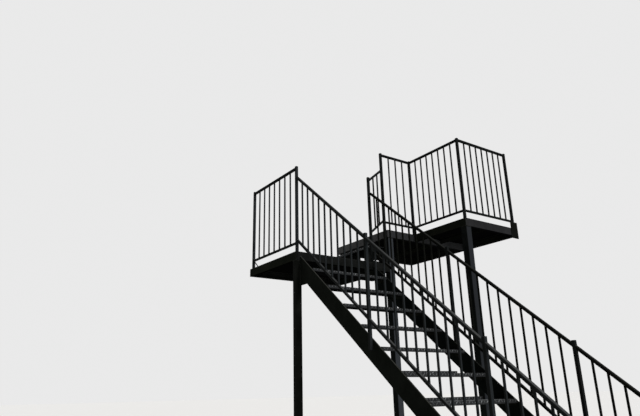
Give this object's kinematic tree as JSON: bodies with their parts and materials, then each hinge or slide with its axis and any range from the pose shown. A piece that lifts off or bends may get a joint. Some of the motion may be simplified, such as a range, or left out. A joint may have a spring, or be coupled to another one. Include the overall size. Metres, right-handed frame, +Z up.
{
  "type": "steel fire escape stair",
  "caption": "Outside steel fire escape stair: straight open flight up to a landing, a step up to an L-shaped deck with a balcony, and picket guards on square columns.",
  "frame": {"origin": "centre of the underside of the corner column's base plate, on the ground", "axes": "+X along the wall behind the landing, from the landing to the deck; +Y towards that wall, so the flight goes down towards -Y; +Z up"},
  "size_m": [2.48, 4.1854, 4.234],
  "materials": {
    "frame_steel": "satin black paint, weathered",
    "floor_steel": "black paint worn dull underfoot",
    "tread_steel": "chequered plate, paint worn to dull gray",
    "rail_steel": "satin black paint"
  },
  "bodies": {
    "root": {"corner_column": "frame_steel", "deck_column": "frame_steel", "balcony_column": "frame_steel", "base_and_cap_plates": "frame_steel", "landing_front_channel": "frame_steel", "landing_left_channel": "frame_steel", "landing_right_channel": "frame_steel", "landing_wall_channel": "frame_steel", "landing_floor_plate": "floor_steel", "step_tread": "tread_steel", "step_brackets": "frame_steel", "deck_front_channel": "frame_steel", "deck_left_channel": "frame_steel", "deck_wall_channel": "frame_steel", "deck_end_channel": "frame_steel", "balcony_left_channel": "frame_steel", "balcony_front_channel": "frame_steel", "balcony_end_channel": "frame_steel", "deck_floor_plate": "floor_steel", "balcony_floor_plate": "floor_steel", "balcony_wall_tie": "frame_steel", "floor_bearers": "frame_steel", "near_stringer": "frame_steel", "far_stringer": "frame_steel", "tread_back_bars": "tread_steel", "tread_clips": "frame_steel", "stringer_feet": "frame_steel", "flight_posts": "rail_steel", "landing_posts": "rail_steel", "landing_post_brace": "rail_steel", "deck_posts": "rail_steel", "near_flight_railing": "rail_steel", "far_flight_railing": "rail_steel", "landing_railing": "rail_steel", "step_railing": "rail_steel", "deck_railing": "rail_steel", "balcony_left_railing": "rail_steel", "balcony_front_railing": "rail_steel", "tread_01": "tread_steel", "tread_02": "tread_steel", "tread_03": "tread_steel", "tread_04": "tread_steel", "tread_05": "tread_steel", "tread_06": "tread_steel", "tread_07": "tread_steel", "tread_08": "tread_steel", "tread_09": "tread_steel", "tread_10": "tread_steel", "tread_11": "tread_steel", "tread_12": "tread_steel", "tread_13": "tread_steel", "tread_14": "tread_steel"}
  },
  "joints": []
}
